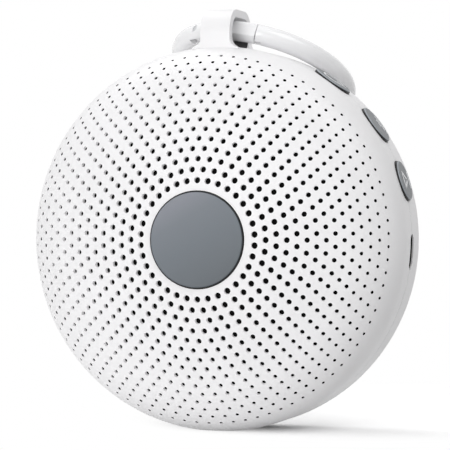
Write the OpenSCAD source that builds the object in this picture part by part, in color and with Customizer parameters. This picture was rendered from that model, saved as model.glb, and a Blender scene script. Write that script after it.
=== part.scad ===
// Portable sound machine: a round body of two shells with a perforated front,
// three side buttons, a charging socket, and a carry ring through a lug on top.
// The body's axis runs along Y, the front faces -Y and +Z is up.
// The origin is on the small flat foot that the body stands on, at mid thickness.

/* [Body] */
// Outside diameter of the body
body_d = 100; // [96:1:110]
// Thickness from the centre disc's face to the rear face
body_t = 40; // [40:1:44]
// Radius of the front's shallow crown
crown_r = 153.5; // [140:0.5:180]
// Radius that rolls the front over into the side
front_edge_r = 15.3; // [14:0.1:17]
// Radius of the rear edge
rear_edge_r = 7.2; // [5:0.1:9]
// Wall of the perforated front
grille_wall = 1.2; // [1:0.1:1.6]
// Wall of the sides and the rear
wall = 2; // [1.6:0.1:2.2]
// Place of the seam behind mid thickness
seam_y = 5; // [4:0.5:6]
// Hairline gap at the seam
seam_gap = 0.15; // [0.1:0.05:0.3]
// Width of the flat foot
foot_w = 12; // [8:1:16]

/* [Sound holes] */
// Rings of holes
ring_count = 15; // [13:1:15]
// Holes in the innermost ring
ring_first_count = 34; // [26:2:34]
// Holes that each next ring adds
ring_added = 4; // [2:2:4]
// Radius of the innermost ring
ring_first_r = 15.1; // [15:0.1:16]
// First step from ring to ring
ring_step = 2.8; // [2.7:0.05:2.8]
// How much the steps tighten outwards
ring_tighten = 0.0365; // [0.03:0.0005:0.045]
// Hole diameter in the innermost ring
hole_first_d = 1.65; // [1.2:0.05:1.7]
// Hole diameter in the outermost ring
hole_last_d = 0.8; // [0.6:0.05:0.85]

/* [Centre disc] */
// Diameter of the centre disc
disc_d = 24.5; // [20:0.5:25]
// Thickness of the centre disc
disc_t = 1.7; // [1.4:0.1:2.2]
// How far its face stands ahead of the crown's apex
disc_lead = 0.12; // [0:0.02:0.4]
// Gap round the disc
disc_gap = 0.25; // [0.15:0.05:0.4]
// Floor under the disc
disc_floor = 1.4; // [1:0.1:1.8]
// Diameter of the disc's three pegs
peg_d = 1.8; // [1.4:0.1:2.2]
// Radius of the circle that the pegs stand on
peg_r = 8; // [6:0.5:9]

/* [Buttons] */
// Diameter of a button
button_d = 10.6; // [9:0.1:11]
// How far a button stands out of the side
button_proud = 0.7; // [0.4:0.1:1.2]
// Rounding of a button's rim
button_rim_r = 0.6; // [0.3:0.1:0.7]
// Gap round a button
button_gap = 0.18; // [0.12:0.02:0.3]
// Width of the flange that keeps a button in
button_flange = 0.9; // [0.7:0.1:1.1]
// Thickness of that flange
flange_t = 1; // [0.8:0.1:1.2]
// Travel of a button
button_travel = 0.5; // [0.3:0.1:0.6]
// Angle of the lowest button above +X
button_first_a = 17.5; // [16:0.5:20]
// Angle from button to button
button_step_a = 18.5; // [17:0.5:19]
// Side of a switch housing along the rim
switch_w = 6; // [5:0.5:6.5]
// Depth of a switch housing towards the middle
switch_deep = 3.6; // [3:0.1:4]
// Height of a switch housing above the board
switch_h = 4; // [3.6:0.1:4.6]
// Diameter of a switch plunger
plunger_d = 2.4; // [2:0.1:3]

/* [Charging socket] */
// Angle of the socket above +X
socket_a = -3.7; // [-6:0.1:-3]
// Width of the socket's shell
socket_w = 8.94; // [8.9:0.01:9]
// Height of the socket's shell
socket_h = 3.26; // [3.2:0.01:3.3]
// Length of the socket
socket_l = 7.3; // [6.5:0.1:8]
// Sheet thickness of the socket's shell
socket_sheet = 0.3; // [0.2:0.05:0.35]
// Gap round the socket in the side wall
socket_gap = 0.15; // [0.1:0.05:0.3]

/* [Lug] */
// Place of the lug behind mid thickness
lug_y = 6.3; // [6:0.1:6.8]
// Width of the lug across the rim
lug_w = 7.9; // [7:0.1:9]
// Length of the lug from front to rear
lug_l = 20.6; // [20:0.1:21.4]
// Height of the lug above the body
lug_rise = 9.85; // [9.5:0.05:10.5]
// Radius of the lug's upper corners
lug_corner_r = 6.6; // [5:0.1:7.5]
// Length of the lug's opening
lug_eye_l = 15.7; // [15:0.1:16]
// Height of the lug's opening
lug_eye_h = 8.6; // [8.4:0.1:8.8]
// Crown of the lug above its opening
lug_crown = 1.95; // [1.7:0.05:2.4]
// Radius that flares the lug's foot into the side
lug_flare_r = 2.25; // [1.5:0.05:2.6]

/* [Carry ring] */
// Radius of the ring's centre line
loop_r = 23; // [21:0.5:26]
// Thickness of the ring
loop_d = 5.3; // [4.8:0.1:5.4]
// How far the ring leans back from hanging straight down
loop_lean = 65; // [65:0.1:70]
// How far the ring is turned about the upright
loop_yaw = 13.6; // [8:0.1:16]
// How far the neck dips to the right
loop_tilt = 3.7; // [2:0.1:4]
// Angle round the ring from the neck's middle to each joint
joint_a = 21.5; // [20:0.5:26]
// Depth of the flat land on the neck
land_t = 0.6; // [0.4:0.1:0.8]
// Thickness of the hinge tongue
tongue_t = 2; // [1.6:0.1:2.4]
// Diameter of the hinge pin
hinge_pin_d = 1.6; // [1.4:0.1:2]
// Running gap in the ring's joints
loop_gap = 0.15; // [0.1:0.05:0.2]

/* [Board and battery] */
// Gap between the main board and the side wall
board_gap = 3; // [2.6:0.1:4]
// Thickness of the main board
board_t = 1.6; // [1.2:0.2:1.6]
// Place of the board's front face behind mid thickness
board_y = 7; // [7:0.1:7.4]
// Width of the battery
battery_w = 34; // [30:1:36]
// Height of the battery
battery_h = 48; // [40:1:50]
// Thickness of the battery
battery_t = 6.2; // [5:0.1:6.6]

/* [Screws and feet] */
// How far inside the rim the case screws stand
case_screw_in = 12; // [11.8:0.1:12.5]
// Angle of the first case screw above +X
case_screw_a = 70; // [68:1:72]
// Shank diameter of a case screw
case_screw_d = 2.5; // [2.2:0.1:3]
// Length of a case screw
case_screw_l = 15; // [13:0.5:16]
// Head diameter of a case screw
case_head_d = 4.6; // [4:0.1:5]
// Diameter of a rear foot
rear_foot_d = 9; // [8:0.5:9.4]
// How far a rear foot stands proud
rear_foot_proud = 0.5; // [0.3:0.1:1]

/* [Speaker] */
// Outside diameter of the speaker's flange
speaker_d = 56.6; // [55.5:0.1:57]
// Place of the flange's front face before mid thickness
speaker_y = -12; // [-12.4:0.1:-11.8]
// Outside diameter of the magnet
magnet_d = 30; // [26:0.5:32]
// Distance from the cone's edge to the flange's edge
cone_margin = 7.3; // [6.8:0.1:8.3]
// Diameter of the voice coil
coil_d = 12; // [10:0.1:13]

/* [Hidden] */
$fn = 96;
SPEAKER_SCREW_OUT = 3.7;
SPEAKER_SCREW_D = 2;
SPEAKER_SCREW_L = 3;
CLEAR = 0.1;
FIRST_LAND = 10;
SHEET = 0.8;

body_r = body_d / 2;
axis_z = sqrt(body_r * body_r - foot_w * foot_w / 4);
front_y = -body_t / 2;
rear_y = body_t / 2;
apex_y = front_y + disc_lead;
inner_r = body_r - wall;

// The crown and the edge roll are tangent arcs
roll_centre_r = body_r - front_edge_r;
roll_a = asin(roll_centre_r / (crown_r - front_edge_r));
roll_centre_y = apex_y + crown_r - (crown_r - front_edge_r) * cos(roll_a);

seat_y = front_y + disc_t;
button_out_r = body_r + button_proud;
flange_r = sqrt(pow(inner_r, 2) - pow(button_d / 2 + button_flange, 2)) - 0.1;
stem_r = flange_r - flange_t - 1.3;
switch_front_r = stem_r - 1.1;
button_mid_y = board_y - switch_h / 2;
socket_y = board_y - socket_h / 2;
board_rear_y = board_y + board_t;
rear_inner_y = rear_y - wall;
lug_top_r = body_r + lug_rise;
lug_eye_top = lug_top_r - lug_crown;
eye_round_r = lug_eye_h / 2;
loop_tube_r = loop_d / 2;
knuckle_r = loop_tube_r + 0.35;
neck_r = lug_eye_top - 0.5 - loop_tube_r;
board_r = inner_r - board_gap;
case_screw_r = body_r - case_screw_in;
speaker_r = speaker_d / 2;
cone_d = speaker_d - 2 * cone_margin;
speaker_screw_r = speaker_r + SPEAKER_SCREW_OUT;
rib_r = speaker_r - 1.75;
rib_t = 0.85;
gasket_t = 0.6;
head_seat_y = rear_y - 4;

// Lifts a piece that is drawn about the body's axis
module lift() { translate([0, 0, axis_z]) children(); }
// Turns a piece that is drawn along Z to run along Y
module about_y() { rotate([-90, 0, 0]) children(); }
// Turns a piece drawn on +X to the angle a above +X
module at_angle(a) { rotate([0, -a, 0]) children(); }
module at_spot(a, r) { at_angle(a) translate([r, 0, 0]) children(); }
module rod(d, y0, y1) { translate([0, y0, 0]) about_y() cylinder(d = d, h = y1 - y0); }
// A round bar along X, turned so that its own edge stays off the seam plane
module spoke(d, r0, r1) {
    translate([r0, 0, 0]) rotate([0, 90, 0]) rotate([0, 0, 45]) cylinder(d = d, h = r1 - r0);
}
module turned() { about_y() rotate_extrude() children(); }
// A block given by its lowest and highest corners
module block(low, high) { translate(low) cube(high - low); }

// Depth of the front surface, moved inwards by inset, at a radius
function skin_y(r, inset) = r < (crown_r - inset) * sin(roll_a)
    ? apex_y + crown_r - sqrt(pow(crown_r - inset, 2) - r * r)
    : roll_centre_y - sqrt(max(0, pow(front_edge_r - inset, 2) - pow(r - roll_centre_r, 2)));
function ring_r(k) = ring_first_r + k * ring_step - k * k * ring_tighten;
function ring_n(k) = ring_first_count + k * ring_added;
function hole_d(k) = hole_first_d + (hole_last_d - hole_first_d) * k / (ring_count - 1);
// Slope of the front surface at a ring: the holes cross the wall squarely
function hole_a(k) = ring_r(k) < crown_r * sin(roll_a)
    ? asin(ring_r(k) / crown_r)
    : asin((ring_r(k) - roll_centre_r) / front_edge_r);
// Radius at which a ring's holes leave the wall: -1 for their inner edge, 1 for their outer edge
function exit_r(k, side) =
    ring_r(k) - grille_wall * sin(hole_a(k)) + side * hole_d(k) / 2 / cos(hole_a(k));
// Where the land under a ring starts, and its depth
function land_r(k) = k == ring_count ? exit_r(k - 1, 1) + 0.1 : (exit_r(k - 1, 1) + exit_r(k, -1)) / 2;
function land_y(k) = skin_y(ring_r(k), 0) + grille_wall * cos(hole_a(k));

// Half section of the body in front of y_end, moved inwards by inset
module front_section(inset, y_end) {
    intersection() {
        union() {
            intersection() {
                translate([0, apex_y + crown_r]) circle(crown_r - inset);
                translate([0, front_y - 1])
                    square([(crown_r - inset) * sin(roll_a), y_end - front_y + 1]);
            }
            translate([roll_centre_r, roll_centre_y]) circle(front_edge_r - inset);
            translate([0, roll_centre_y]) square([body_r - inset, y_end - roll_centre_y]);
        }
        translate([0, front_y - 5]) square([body_r - inset, y_end - front_y + 5]);
    }
}

// Half section of the body behind y_start, moved inwards by inset
module rear_section(inset, y_start) {
    corner_y = rear_y - rear_edge_r;
    translate([0, y_start]) square([body_r - inset, corner_y - y_start]);
    translate([0, y_start]) square([body_r - rear_edge_r, rear_y - inset - y_start]);
    intersection() {
        translate([body_r - rear_edge_r, corner_y]) circle(rear_edge_r - inset);
        translate([body_r - rear_edge_r - 1, corner_y - 1]) square(rear_edge_r + 2);
    }
}

// Half section of what hollows the perforated wall: smooth at first, then a flat land per ring
module grille_hollow() {
    intersection() {
        front_section(grille_wall, roll_centre_y - 3);
        translate([0, front_y]) square([land_r(FIRST_LAND), body_t]);
    }
    for (k = [FIRST_LAND:ring_count - 1])
        translate([land_r(k) - 0.5, land_y(k)]) square([land_r(k + 1) - land_r(k) + 0.5, 3.5]);
}

module sound_holes() {
    for (k = [0:ring_count - 1], i = [0:ring_n(k) - 1])
        at_spot(90 + (i + (k % 2) / 2) * 360 / ring_n(k), ring_r(k))
            translate([0, skin_y(ring_r(k), 0), 0]) rotate([0, 0, hole_a(k)])
                rod(hole_d(k), -1, grille_wall + 0.3 + hole_d(k) / 2 * tan(hole_a(k)), $fn = 16);
}

module case_spots(r = case_screw_r) { for (i = [0:3]) at_spot(case_screw_a + i * 90, r) children(); }
module speaker_spots() { for (i = [0:3]) at_spot(case_screw_a - 45 + i * 90, speaker_screw_r) children(); }
module button_spots() { for (i = [0:2]) at_spot(button_first_a + i * button_step_a, 0) children(); }
module peg_spots() { for (i = [0:2]) at_spot(90 + i * 120, peg_r) children(); }

// The socket's rounded outline, extruded along the spoke that it opens on
module socket_shape(grow, r0, r1) {
    half = (socket_w - socket_h) / 2;
    thick = socket_h + 2 * grow;
    at_spot(socket_a, r0) translate([0, socket_y, 0]) rotate([90, 0, 90]) linear_extrude(r1 - r0) {
        for (s = [-1, 1]) translate([0, s * half]) circle(d = thick);
        translate([-thick / 2, -half]) square([thick, 2 * half]);
    }
}

module side_cuts() {
    button_spots() translate([0, button_mid_y, 0]) spoke(button_d + 2 * button_gap, inner_r - 2, body_r + 3);
    socket_shape(socket_gap, inner_r - 3, body_r + 3);
    block([-lug_w / 2 - CLEAR, lug_y - lug_l / 2 - CLEAR, inner_r - 6],
          [lug_w / 2 + CLEAR, lug_y + lug_l / 2 + CLEAR, body_r + 3]);
    block([-foot_w, front_y, -body_r - 3], [foot_w, rear_y, -axis_z]);
}

module front_shell() {
    color("whitesmoke") lift() difference() {
        union() {
            turned() difference() {
                front_section(0, seam_y);
                grille_hollow();
                front_section(wall, seam_y + 1);
            }
            intersection() {
                turned() front_section(grille_wall / 2, board_y);
                union() {
                    case_spots() rod(5.4, front_y, board_y);
                    speaker_spots() rod(4.4, front_y, speaker_y);
                    turned() translate([rib_r, front_y]) square([rib_t, speaker_y - gasket_t - front_y]);
                    rod(disc_d + 2 * disc_gap + 2.8, front_y, seat_y + disc_floor);
                }
            }
        }
        sound_holes();
        rod(disc_d + 2 * disc_gap, front_y - 1, seat_y);
        peg_spots() rod(peg_d + 2 * CLEAR, front_y, 0);
        case_spots() rod(case_screw_d, head_seat_y - case_screw_l - 0.5, board_y + 1);
        speaker_spots() rod(SPEAKER_SCREW_D, speaker_y + SHEET - SPEAKER_SCREW_L - 0.2, speaker_y + 1);
        side_cuts();
    }
}

module rear_shell() {
    lip_out = inner_r - 0.12;
    lip_in = inner_r - 1.1;
    color("whitesmoke") lift() difference() {
        union() {
            turned() difference() {
                rear_section(0, seam_y + seam_gap);
                rear_section(wall, seam_y - 1);
            }
            difference() {
                turned() {
                    translate([lip_in, seam_y - 2.6]) square([lip_out - lip_in, 4.6]);
                    translate([lip_in, seam_y + 0.6]) square([wall, 1.4]);
                }
                button_spots() translate([0, button_mid_y, 0])
                    spoke(button_d + 2 * button_flange + 1.2, inner_r - 4, inner_r + 0.05);
                socket_shape(1, inner_r - 4, inner_r + 0.05);
                block([-9, front_y, inner_r - 6], [9, rear_y, body_r]);
            }
            case_spots() rod(7, board_rear_y, rear_inner_y + 0.5);
            for (s = [-1, 1]) translate([s * (battery_w / 2 + 0.9), 0, 0])
                block([-0.6, board_rear_y + 3, -18], [0.6, rear_inner_y + 0.5, 18]);
        }
        case_spots() {
            rod(case_screw_d + 0.4, board_y, rear_y);
            rod(case_head_d + 0.6, head_seat_y, rear_y + 1);
            rod(rear_foot_d + 0.2, rear_y - 0.8, rear_y + 1);
        }
        side_cuts();
    }
}

module centre_disc() {
    edge = 0.4;
    color("slategray") lift() {
        turned() {
            translate([0, front_y]) square([disc_d / 2 - edge, disc_t]);
            translate([0, front_y + edge]) square([disc_d / 2, disc_t - edge]);
            translate([disc_d / 2 - edge, front_y + edge]) circle(edge, $fn = 24);
        }
        peg_spots() {
            rod(peg_d, seat_y - 0.2, seat_y + disc_floor + 0.7);
            rod(peg_d + 1, seat_y + disc_floor, seat_y + disc_floor + 0.7);
        }
    }
}

// Black cloth behind the holes that the speaker and its rim open onto
module dust_mesh() {
    gap = 0.1;
    cloth = 0.25;
    inner = ring_first_r - 0.85;
    split = land_r(FIRST_LAND) - gap;
    color("black") lift() difference() {
        turned() {
            intersection() {
                difference() {
                    front_section(grille_wall + gap, 0);
                    front_section(grille_wall + gap + cloth, 1);
                }
                translate([inner, front_y]) square([split - inner, body_t]);
            }
            for (k = [FIRST_LAND - 1:ring_count - 2]) {
                low = max(land_r(k) - gap - 0.05, split - 0.4);
                front = k < FIRST_LAND ? skin_y(split, grille_wall) + gap : land_y(k) + gap;
                translate([low, front])
                    square([land_r(k + 1) - gap - low, land_y(k + 1) + gap + cloth - front]);
            }
        }
        turned() translate([rib_r - 0.2, front_y]) square([rib_t + 0.4, body_t]);
        case_spots() rod(5.8, front_y, rear_y);
        speaker_spots() rod(4.8, front_y, rear_y);
    }
}

module lug_outline() {
    side = lug_l / 2 - lug_corner_r;
    for (s = [-1, 1]) translate([s * side, lug_top_r - lug_corner_r]) circle(lug_corner_r);
    translate([-side, inner_r]) square([2 * side, lug_top_r - inner_r]);
    translate([-lug_l / 2, inner_r - 2.6]) square([lug_l, lug_top_r - lug_corner_r - inner_r + 2.6]);
}

module lug_eye() {
    half = lug_eye_l / 2 - eye_round_r;
    translate([0, lug_eye_top - eye_round_r]) {
        for (s = [-1, 1]) translate([s * half, 0]) circle(eye_round_r);
        translate([-half, -eye_round_r]) square([2 * half, lug_eye_h]);
    }
}

// Extrudes an outline drawn in Y and Z by w across the lug
module across(w) { translate([-w / 2, lug_y, 0]) rotate([90, 0, 90]) linear_extrude(w) children(); }

module hanging_lug() {
    flare_x = lug_w / 2 + lug_flare_r;
    flare_z = sqrt(body_r * body_r - flare_x * flare_x) + lug_flare_r;
    color("whitesmoke") lift() difference() {
        union() {
            across(lug_w) lug_outline();
            intersection() {
                block([-8, 0.3, axis_z / 2], [8, rear_y - rear_edge_r - 0.3, lug_top_r]);
                turned() translate([inner_r - 1.4, 0]) square([1.35, rear_y]);
            }
            difference() {
                block([-flare_x, lug_y - lug_l / 2, inner_r], [flare_x, lug_y + lug_l / 2, flare_z]);
                for (s = [-1, 1]) translate([s * flare_x, 0, flare_z]) rod(2 * lug_flare_r, front_y, rear_y);
                turned() {
                    front_section(-0.05, seam_y + 1);
                    rear_section(-0.05, seam_y);
                }
            }
        }
        across(2 * flare_x + 2) lug_eye();
    }
}

// Places what is drawn with the ring's neck along X and its centre below
module loop_frame() {
    lift() translate([0, lug_y, neck_r]) rotate([loop_lean, loop_tilt, -loop_yaw]) children();
}
// Goes to the angle a round the ring from the neck's middle: X along the tube, Z outwards
module round_loop(a) { translate([0, 0, -loop_r]) rotate([0, a, 0]) translate([0, 0, loop_r]) children(); }
// Revolves a section from the angle a0 to a1 round the ring
module loop_sweep(a0, a1) {
    translate([0, 0, -loop_r]) rotate([90, 0, 0]) rotate([0, 0, 90 - a1])
        rotate_extrude(angle = a1 - a0) children();
}
module loop_tube(a0, a1) { loop_sweep(a0, a1) translate([loop_r, 0]) circle(loop_tube_r, $fn = 64); }
function loop_angle(length) = length / loop_r * 180 / PI;

module ring_neck() {
    shoulder = knuckle_r + 4 * loop_gap;
    tongue_r = loop_tube_r - 0.3;
    snap_w = 1.2;
    color("white") loop_frame() {
        difference() {
            union() {
                loop_tube(-joint_a + loop_angle(shoulder), joint_a - loop_angle(loop_gap));
                round_loop(-joint_a) {
                    translate([0, 0, -tongue_t / 2]) cylinder(r = tongue_r, h = tongue_t);
                    block([0, -tongue_r, -tongue_t / 2], [shoulder + 0.6, tongue_r, tongue_t / 2]);
                }
                round_loop(joint_a) block([-1, -1.2, -snap_w / 2], [0.9, 1.2, snap_w / 2]);
            }
            loop_sweep(-6, joint_a + 1) translate([loop_r + loop_tube_r - land_t, -5]) square([5, 10]);
            round_loop(-joint_a) cylinder(d = hinge_pin_d, h = loop_d, center = true);
        }
    }
}

module hinge_pin() {
    color("silver") loop_frame() round_loop(-joint_a)
        cylinder(d = hinge_pin_d, h = loop_d - 0.6, center = true);
}

module carry_ring() {
    color("white") loop_frame() difference() {
        loop_tube(joint_a + loop_angle(loop_gap), 360 - joint_a + loop_angle(knuckle_r) + 2);
        round_loop(-joint_a) difference() {
            block([0, -loop_d, -loop_d], [3 * loop_tube_r, loop_d, loop_d]);
            cylinder(r = knuckle_r, h = 3 * loop_d, center = true);
        }
        round_loop(-joint_a) {
            block([-loop_tube_r - loop_gap, -5, -tongue_t / 2 - loop_gap], [5, 5, tongue_t / 2 + loop_gap]);
            cylinder(d = hinge_pin_d + loop_gap, h = 2 * loop_d, center = true);
        }
        round_loop(joint_a) block([-1, -5, -0.85], [1.7, 5, 0.85]);
    }
}

module button_cap(i) {
    half = button_d / 2;
    at_spot(button_first_a + i * button_step_a, 0) translate([0, button_mid_y, 0]) rotate([0, 90, 0])
        rotate_extrude() {
            translate([0, stem_r]) square([1.8, flange_r - stem_r]);
            translate([0, flange_r - flange_t]) square([half + button_flange, flange_t]);
            translate([0, flange_r - 0.2]) square([half, button_out_r - button_rim_r - flange_r + 0.2]);
            translate([0, button_out_r - 2 * button_rim_r]) square([half - button_rim_r, 2 * button_rim_r]);
            translate([half - button_rim_r, button_out_r - button_rim_r]) circle(button_rim_r, $fn = 32);
        }
}
module plunger(i) {
    at_spot(button_first_a + i * button_step_a, 0) translate([0, button_mid_y, 0])
        spoke(plunger_d, switch_front_r - 1, stem_r);
}
module power_button() { color("gray") lift() button_cap(2); }
module volume_button() { color("gray") lift() button_cap(1); }
module sound_button() { color("gray") lift() button_cap(0); }
module power_plunger() { color("dimgray") lift() plunger(2); }
module volume_plunger() { color("dimgray") lift() plunger(1); }
module sound_plunger() { color("dimgray") lift() plunger(0); }

module switch_housings() {
    color("silver") lift() button_spots() difference() {
        block([switch_front_r - switch_deep, board_y - switch_h, -switch_w / 2],
              [switch_front_r, board_y, switch_w / 2]);
        translate([0, button_mid_y, 0])
            spoke(plunger_d + 0.3, switch_front_r - 1 - button_travel - 0.3, switch_front_r + 1);
    }
}

module socket_shell() {
    mouth_r = body_r - 1.1;
    color("silver") lift() difference() {
        socket_shape(0, mouth_r - socket_l, mouth_r);
        socket_shape(-socket_sheet, mouth_r - socket_l + 1, mouth_r + 1);
    }
}

module socket_tongue() {
    mouth_r = body_r - 1.1;
    color("dimgray") lift() at_spot(socket_a, 0) translate([0, socket_y, 0])
        block([mouth_r - socket_l + 1, -0.35, -3.35], [mouth_r - 0.6, 0.35, 3.35]);
}

module main_board() {
    color("darkgreen") lift() difference() {
        rod(2 * board_r, board_y, board_rear_y);
        case_spots() rod(case_screw_d + 0.4, board_y - 1, board_rear_y + 1);
    }
}

// A part of size w by h soldered to the board's front at x and z, t thick
module on_board(x, z, w, h, t) {
    block([x - w / 2, board_y - t, z - h / 2], [x + w / 2, board_y, z + h / 2]);
}
module controller_chip() { color("black") lift() on_board(-24, 12, 7, 7, 0.9); }
module amplifier_chip() { color("black") lift() on_board(-23, -10, 5, 6, 1.5); }
module memory_chip() { color("black") lift() on_board(-24, 1, 5.2, 5.2, 1.8); }
module capacitors() {
    color("silver") lift() for (z = [-16, -9, 9, 16]) translate([26, 0, z]) rod(5, board_y - 5.4, board_y);
}
module battery_connector() {
    color("ivory") lift() block([-4, board_rear_y, 29], [4, board_rear_y + 4, 34]);
}
module speaker_connector() { color("ivory") lift() on_board(0, -32, 8, 5, 4); }

// A lead of round wire through a list of points, its straight runs lapped at each bend
module lead(points, d) {
    last = len(points) - 2;
    for (i = [0:last]) {
        run = points[i + 1] - points[i];
        start = i == 0 ? 0 : d / 4;
        length = norm(run) + start + (i == last ? 0 : d / 4);
        translate(points[i]) rotate([0, acos(run.z / norm(run)), atan2(run.y, run.x)])
            translate([0, 0, -start]) cylinder(d = d, h = length, $fn = 24);
    }
}

module battery() {
    y = board_rear_y + 0.4;
    color("silver") lift()
        block([-battery_w / 2, y, -battery_h / 2], [battery_w / 2, y + battery_t, battery_h / 2]);
}
module battery_foam() {
    y = board_rear_y + 0.4 + battery_t;
    color("dimgray") lift() block([-battery_w / 2 + 2, y, -battery_h / 2 + 4],
                                  [battery_w / 2 - 2, rear_inner_y, battery_h / 2 - 4]);
}
module battery_leads() {
    y = board_rear_y + 2;
    z = battery_h / 2;
    color("red") lift() for (x = [-1.6, 1.6])
        lead([[x, y + 1, z], [x, y + 1, z + 1.5], [x, y, 27.5], [x, y, 29]], 1.2);
}

module speaker_gasket() {
    color("dimgray") lift() turned() translate([rib_r - 0.6, speaker_y - gasket_t])
        square([rib_t + 1.1, gasket_t]);
}

module speaker_basket() {
    rim = cone_d / 2 + 1.8;
    base = magnet_d / 2 + 0.5;
    floor_y = speaker_y + 9.4;
    spider_y = speaker_y + 6.8;
    color("dimgray") lift() difference() {
        union() {
            turned() {
                translate([rim, speaker_y]) square([speaker_r - rim, SHEET]);
                polygon([[rim, speaker_y], [rim + SHEET, speaker_y],
                         [base + SHEET, floor_y], [base, floor_y]]);
                translate([coil_d / 2 + 1, floor_y - SHEET])
                    square([base + SHEET - coil_d / 2 - 1, SHEET]);
                translate([base + 0.9, spider_y]) square([1.4, 0.5]);
            }
            speaker_spots() {
                rod(5.6, speaker_y, speaker_y + SHEET);
                block([-5.5, speaker_y, -2.8], [0, speaker_y + SHEET, 2.8]);
            }
        }
        speaker_spots() rod(SPEAKER_SCREW_D + 0.3, speaker_y - 1, speaker_y + 2);
        case_spots(0) block([base, speaker_y + 2.6, -7], [rim + 4, speaker_y + 6.2, 7]);
    }
}

module speaker_surround() {
    roll = 1.5;
    mid = cone_d / 2 + roll;
    color("dimgray") lift() turned() {
        difference() {
            translate([mid, speaker_y]) circle(roll + 0.2, $fn = 48);
            translate([mid, speaker_y]) circle(roll - 0.2, $fn = 48);
            translate([0, speaker_y]) square([50, 10]);
        }
        translate([mid + roll - 0.2, speaker_y - 0.4]) square([2, 0.4]);
    }
}

module speaker_cone() {
    out = cone_d / 2 + 0.2;
    deep = speaker_y + 5.4;
    coil_out = coil_d / 2 + 0.1;
    coil_in = coil_out - 0.5;
    cap_y = deep + 6.2;
    color("dimgray") lift() turned() {
        polygon([[out, speaker_y], [out, speaker_y + 0.5], [coil_out, deep + 0.5],
                 [coil_in, deep + 0.5], [coil_in, deep], [coil_out, deep], [out - 1, speaker_y]]);
        intersection() {
            difference() {
                translate([0, cap_y]) circle(9.2);
                translate([0, cap_y]) circle(8.8);
            }
            translate([0, front_y]) square([coil_out + 0.3, deep + 0.3 - front_y]);
        }
    }
}

module speaker_spider() {
    out = magnet_d / 2 + 2.1;
    color("goldenrod") lift() turned() translate([coil_d / 2 + 0.1, speaker_y + 6.4])
        square([out - coil_d / 2 - 0.1, 0.4]);
}

module voice_coil() {
    color("peru") lift() turned() translate([coil_d / 2 - 0.4, speaker_y + 5.9]) square([0.5, 6]);
}

module magnet_plate() {
    y = speaker_y + 9.4;
    color("silver") lift() turned() translate([coil_d / 2 + 0.4, y])
        square([magnet_d / 2 - 1.4 - coil_d / 2, 1.6]);
}
module speaker_magnet() {
    y = speaker_y + 11;
    color("dimgray") lift() turned() translate([coil_d / 2 + 1.2, y])
        square([magnet_d / 2 - coil_d / 2 - 1.2, 2.8]);
}
module speaker_yoke() {
    y = speaker_y + 13.8;
    color("silver") lift() {
        rod(magnet_d - 1, y, y + 1.6);
        rod(coil_d - 1.6, speaker_y + 9.4, y + 0.2);
    }
}
module speaker_terminals() {
    y = speaker_y + SHEET;
    color("saddlebrown") lift() block([-4, y, -speaker_r + 0.4], [4, y + 1.2, -speaker_r + 4.3]);
}
module speaker_leads() {
    y = speaker_y + SHEET + 1.2;
    z = -speaker_r + 2.3;
    color("red") lift() for (x = [-1.6, 1.6])
        lead([[x, y, z], [x, y + 1.5, z], [x, board_y - 6, -32], [x, board_y - 4, -32]], 1.1);
}

// A pan head screw that points towards -Y, with its head's seat at the origin
module screw(d, length, head_d, head_h) {
    difference() {
        union() {
            rod(d, -length, 0.1);
            rod(head_d, 0, head_h);
        }
        for (a = [0, 90]) at_angle(a)
            block([-head_d / 3.4, head_h * 0.45, -d / 9], [head_d / 3.4, head_h + 1, d / 9]);
    }
}
module speaker_screws() {
    color("silver") lift() speaker_spots() translate([0, speaker_y + SHEET, 0])
        screw(SPEAKER_SCREW_D, SPEAKER_SCREW_L, 3.8, 1.3);
}
module case_screws() {
    color("silver") lift() case_spots() translate([0, head_seat_y, 0])
        screw(case_screw_d, case_screw_l, case_head_d, 1.8);
}
module rear_feet() {
    color("gainsboro") lift() case_spots() {
        rod(rear_foot_d, rear_y - 0.8, rear_y + rear_foot_proud);
        rod(case_head_d, head_seat_y + 2, rear_y - 0.7);
    }
}

front_shell();
rear_shell();
centre_disc();
dust_mesh();
hanging_lug();
ring_neck();
hinge_pin();
carry_ring();
power_button();
volume_button();
sound_button();
power_plunger();
volume_plunger();
sound_plunger();
switch_housings();
socket_shell();
socket_tongue();
main_board();
controller_chip();
amplifier_chip();
memory_chip();
capacitors();
battery_connector();
speaker_connector();
battery();
battery_foam();
battery_leads();
speaker_gasket();
speaker_basket();
speaker_surround();
speaker_cone();
speaker_spider();
voice_coil();
speaker_magnet();
magnet_plate();
speaker_yoke();
speaker_terminals();
speaker_leads();
speaker_screws();
case_screws();
rear_feet();
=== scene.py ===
"""Studio scene of a round portable sound machine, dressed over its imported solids."""

import logging
import math
from collections.abc import Iterable, Sequence
from dataclasses import dataclass
from enum import Enum
from functools import reduce

import bmesh
import bpy
from mathutils import Euler, Matrix, Vector


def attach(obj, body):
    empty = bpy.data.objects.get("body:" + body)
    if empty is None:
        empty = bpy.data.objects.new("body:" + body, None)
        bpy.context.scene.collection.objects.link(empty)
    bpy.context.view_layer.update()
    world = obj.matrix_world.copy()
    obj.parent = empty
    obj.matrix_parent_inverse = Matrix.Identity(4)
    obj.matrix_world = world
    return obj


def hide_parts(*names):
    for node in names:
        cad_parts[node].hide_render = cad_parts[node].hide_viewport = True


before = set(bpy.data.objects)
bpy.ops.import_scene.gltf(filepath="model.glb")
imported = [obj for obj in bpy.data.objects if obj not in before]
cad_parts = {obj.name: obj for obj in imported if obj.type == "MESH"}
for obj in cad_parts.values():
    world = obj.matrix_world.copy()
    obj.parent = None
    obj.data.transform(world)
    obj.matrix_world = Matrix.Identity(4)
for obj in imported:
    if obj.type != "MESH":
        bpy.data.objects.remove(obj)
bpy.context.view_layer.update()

LOG = logging.getLogger("sound_machine")
MM = 0.001
MICRON = 1e-6
AXIS_Z = 49.639  # height of the body's axis in millimetres
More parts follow.
